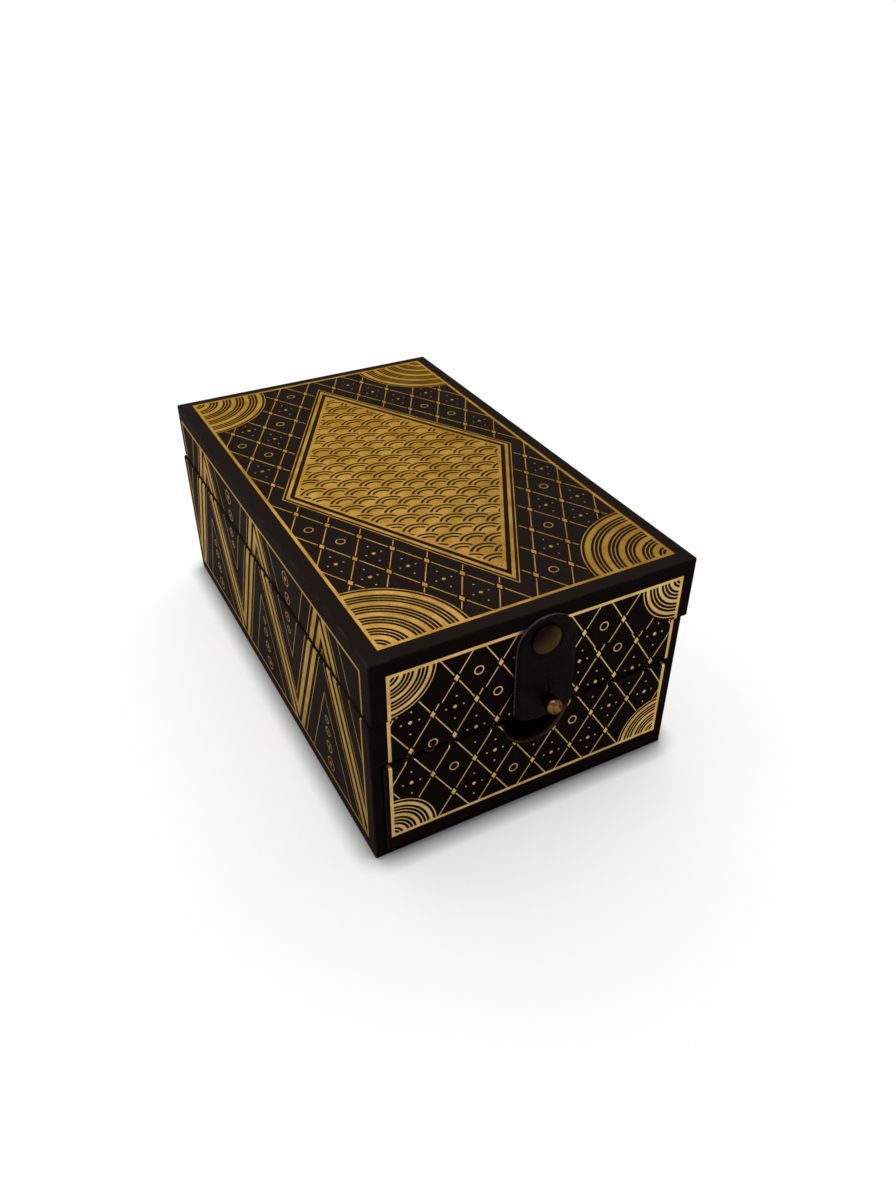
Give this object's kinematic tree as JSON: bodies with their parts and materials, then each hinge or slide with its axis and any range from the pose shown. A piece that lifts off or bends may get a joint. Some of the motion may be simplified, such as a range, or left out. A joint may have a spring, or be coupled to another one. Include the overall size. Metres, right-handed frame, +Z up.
{
  "type": "keepsake box",
  "caption": "Rigid keepsake box wrapped in black paper with gold foil, with a hinged lid over a tray, a drawer below and a leather strap that buttons over a ball stud.",
  "frame": {"origin": "on the surface the box stands on, under the middle of the body", "axes": "+X to the right of someone who faces the front, +Y from the front to the hinge, +Z up"},
  "size_m": [0.1158, 0.2017, 0.08],
  "materials": {
    "greyboard": "matte",
    "printed_paper": "matte",
    "gold_foil": "satin",
    "lining_paper": "matte",
    "hinge_cloth": "matte",
    "strap_leather": "satin",
    "antique_brass": "satin",
    "plain_brass": "satin",
    "stud_brass": "polished"
  },
  "bodies": {
    "case": {"bottom_board": "greyboard", "base_paper": "printed_paper", "case_left_board": "greyboard", "case_right_board": "greyboard", "case_back_board": "greyboard", "shelf_board": "greyboard", "case_wrap": "printed_paper", "bay_lining": "lining_paper", "tray_lining": "lining_paper", "front_band_board": "greyboard", "front_band_wrap": "printed_paper", "hinge_cloth_lower": "hinge_cloth", "ball_stud": "stud_brass", "stud_screw": "plain_brass"},
    "lid": {"lid_top_board": "greyboard", "lid_front_board": "greyboard", "lid_back_board": "greyboard", "lid_left_board": "greyboard", "lid_right_board": "greyboard", "lid_wrap": "printed_paper", "lid_lining": "lining_paper", "hinge_cloth_upper": "hinge_cloth", "strap_root": "strap_leather", "rivet_cap": "antique_brass", "rivet_post": "plain_brass"},
    "drawer": {"drawer_front_board": "greyboard", "drawer_back_board": "greyboard", "drawer_left_board": "greyboard", "drawer_right_board": "greyboard", "drawer_bottom_board": "greyboard", "drawer_wrap": "printed_paper", "drawer_lining": "lining_paper"},
    "strap_flap": {"strap_flap": "strap_leather"}
  },
  "joints": [
    {"name": "lid_hinge", "type": "hinge", "parent": "case", "child": "lid", "pos_m": [0, 0.0962, 0.0571], "axis": [-1, 0, 0], "range_deg": [0, 175]},
    {"name": "drawer_slide", "type": "slide", "parent": "case", "child": "drawer", "axis": [0, -1, 0], "range_m": [-0.0015, 0.1385]},
    {"name": "strap_bend", "type": "hinge", "parent": "lid", "child": "strap_flap", "pos_m": [0.002, -0.0962, 0.0631], "axis": [-1, 0, 0], "range_deg": [0, 80], "deforming": ["strap_flap"]}
  ]
}
